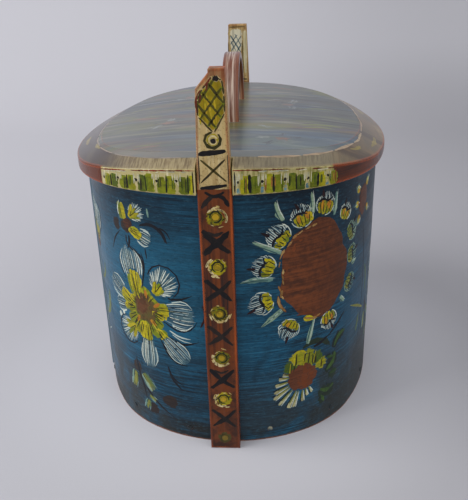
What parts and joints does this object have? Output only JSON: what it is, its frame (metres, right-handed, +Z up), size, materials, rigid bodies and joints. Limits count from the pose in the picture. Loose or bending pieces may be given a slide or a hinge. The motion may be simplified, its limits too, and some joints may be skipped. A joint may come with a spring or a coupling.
{
  "type": "bentwood lidded box",
  "caption": "Oval bentwood carrying box with laced side band, two hooked end posts and a cambered lift-off lid with a bent strap handle.",
  "frame": {"origin": "middle of the base, on the face that the box stands on", "axes": "+Z up, +Y along the box's long axis from the near post to the far post, +X across the box"},
  "size_m": [0.24, 0.2898, 0.2766],
  "materials": {
    "band_wood": "blue oil paint, varnished, worn",
    "root": "split root",
    "bare_wood": "bare aged softwood",
    "peg_wood": "bare aged hardwood",
    "near_post_wood": "painted, varnished, worn",
    "far_post_wood": "painted, varnished, worn",
    "near_peg_wood": "painted, varnished",
    "far_peg_wood": "painted, varnished",
    "lid_wood": "painted, glossy varnish, worn",
    "batten_wood": "bare aged softwood",
    "handle_wood": "red-brown paint, varnished"
  },
  "bodies": {
    "box": {"side_band": "band_wood", "seam_lacing_near": "root", "seam_lacing_far": "root", "bottom_board": "bare_wood", "bottom_pegs": "peg_wood", "near_post": "near_post_wood", "far_post": "far_post_wood", "near_post_pegs": "near_peg_wood", "far_post_pegs": "far_peg_wood"},
    "lid": {"lid_board": "lid_wood", "near_batten": "batten_wood", "far_batten": "batten_wood", "batten_pegs": "peg_wood", "handle": "handle_wood", "handle_wedges": "peg_wood"}
  },
  "joints": [
    {"name": "lid_lift", "type": "slide", "parent": "box", "child": "lid", "axis": [0, 0, 1], "range_m": [0, 0.1]}
  ]
}
